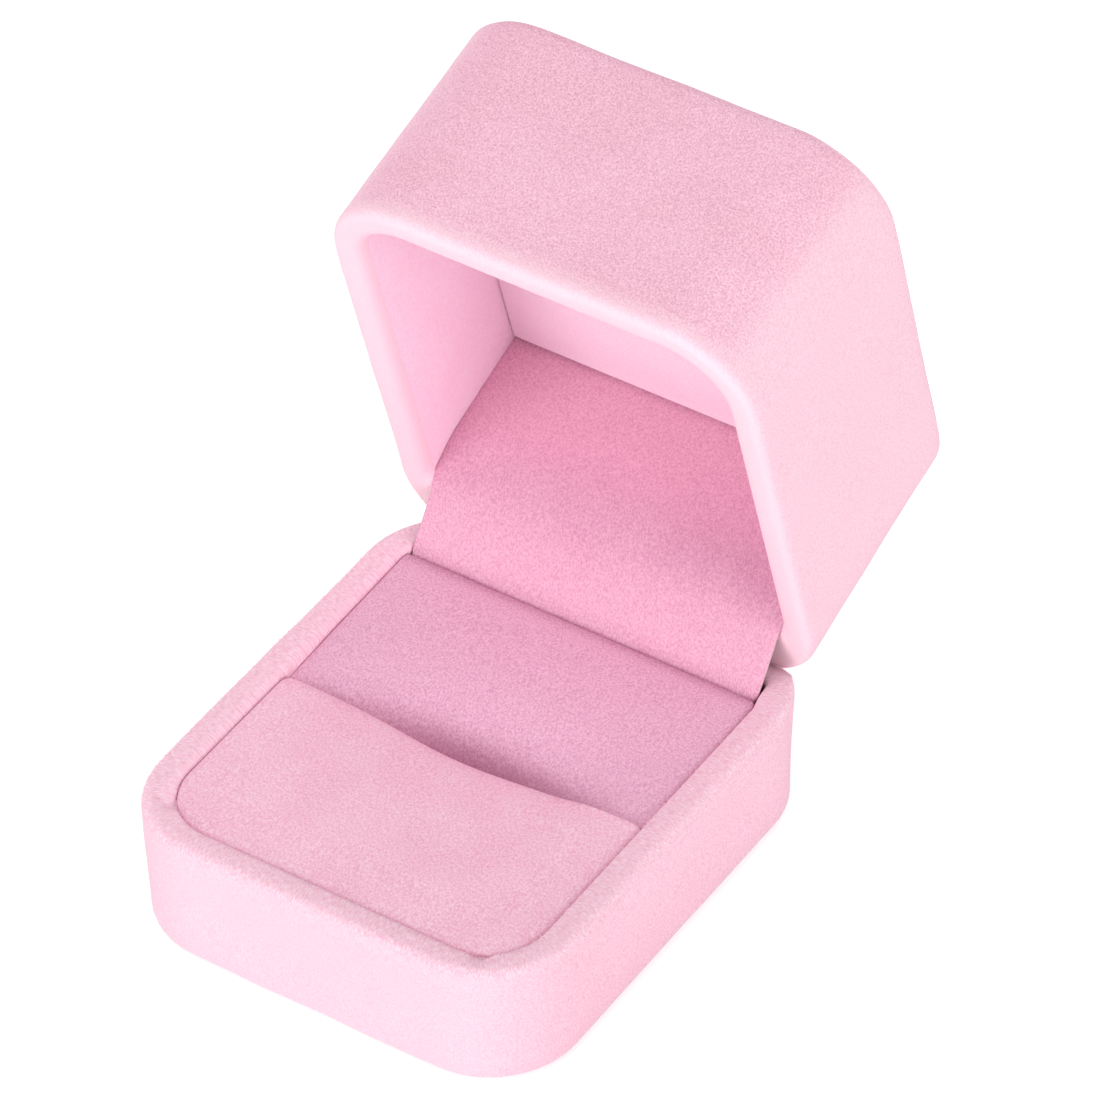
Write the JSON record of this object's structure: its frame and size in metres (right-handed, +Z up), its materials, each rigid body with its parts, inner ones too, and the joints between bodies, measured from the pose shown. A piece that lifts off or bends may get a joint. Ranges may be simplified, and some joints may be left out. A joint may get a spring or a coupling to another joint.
{
  "type": "jewelry box",
  "caption": "Small velvet-covered jewelry box with a hinged lid standing open, a padded base with a narrow slot, and a flap over the hinge.",
  "frame": {"origin": "centre of the flat underside of the base", "axes": "+X to the right of someone facing the open front, +Y towards the hinge at the back, +Z up"},
  "size_m": [0.05, 0.0816, 0.0746],
  "materials": {
    "velvet_outer": "short-pile velvet, pale pink",
    "velvet_pad": "short-pile velvet, medium pink",
    "velvet_flap": "smooth velvet, pink",
    "velvet_lining": "smooth velvet lining, pink",
    "shell_plastic": "moulded, off-white, hidden under the velvet",
    "card": "grey board",
    "foam": "open-cell foam",
    "base_paper": "flocked paper sheet",
    "hinge_steel": "nickel-plated pressed steel",
    "spring_steel": "blued spring strip"
  },
  "bodies": {
    "base": {"base_shell": "shell_plastic", "base_velvet_wrap": "velvet_outer", "bottom_sheet": "base_paper", "insert_card": "card", "front_pad_foam": "foam", "front_pad_velvet": "velvet_pad", "rear_pad_foam": "foam", "rear_pad_velvet": "velvet_pad", "hinge_base_leaf": "hinge_steel", "hinge_pin": "hinge_steel", "snap_spring": "spring_steel", "base_rivets": "hinge_steel"},
    "lid": {"lid_shell": "shell_plastic", "lid_velvet_wrap": "velvet_outer", "lid_side_lining": "velvet_lining", "lid_ceiling_card": "card", "lid_ceiling_foam": "foam", "lid_ceiling_velvet": "velvet_lining", "flap_card": "card", "flap_velvet": "velvet_flap", "hinge_lid_leaf": "hinge_steel", "lid_rivets": "hinge_steel"}
  },
  "joints": [
    {"name": "lid_hinge", "type": "hinge", "parent": "base", "child": "lid", "pos_m": [0, 0.0254, 0.0149], "axis": [1, 0, 0], "range_deg": [0, 74.4]}
  ]
}
